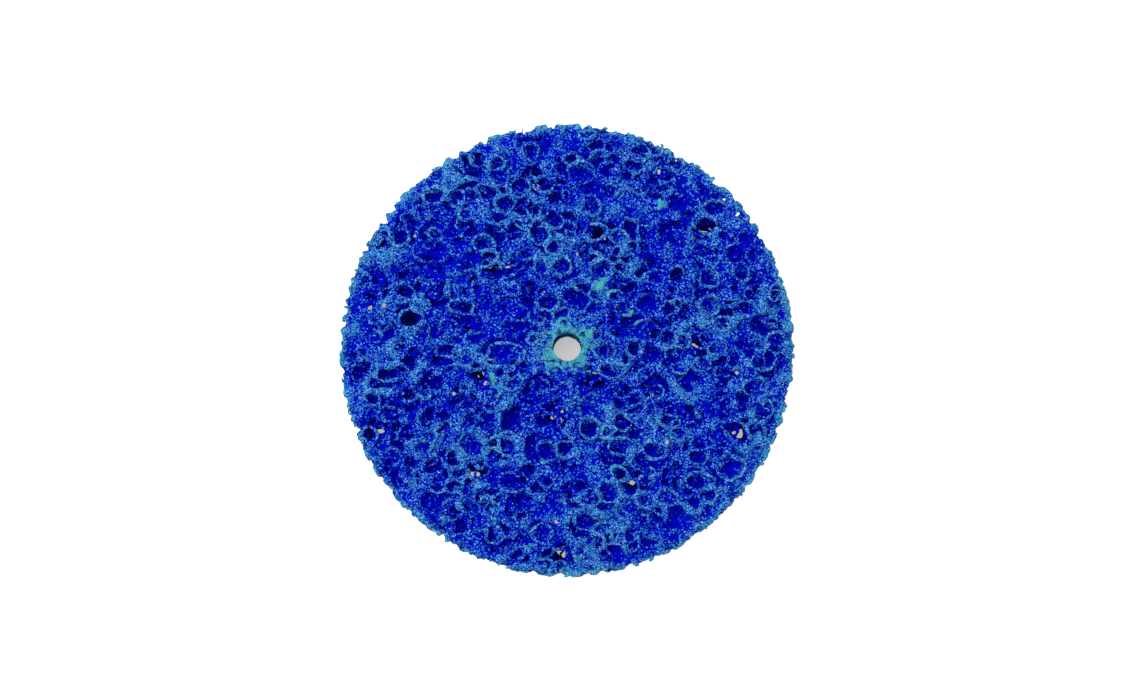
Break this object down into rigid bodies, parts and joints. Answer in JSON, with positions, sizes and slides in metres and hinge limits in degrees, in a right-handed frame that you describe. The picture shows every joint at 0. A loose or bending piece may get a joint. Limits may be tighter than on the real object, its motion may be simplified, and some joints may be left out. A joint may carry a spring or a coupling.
{
  "type": "surface conditioning disc",
  "caption": "Round open-web abrasive disc, 4 in across and 1/2 in thick, with a plain 1/4 in centre bore, for stripping and conditioning surfaces.",
  "frame": {"origin": "on the bore axis, in the plane of the back face that the disc rests on", "axes": "+Z runs along the bore axis, out of the front face. X and Y lie in the back face, and are alike."},
  "size_m": [0.1016, 0.1016, 0.0127],
  "materials": {
    "abrasive_web": "matt blue abrasive resin over a coarse nylon fibre web"
  },
  "bodies": {
    "root": {"abrasive_web": "abrasive_web"}
  },
  "joints": []
}
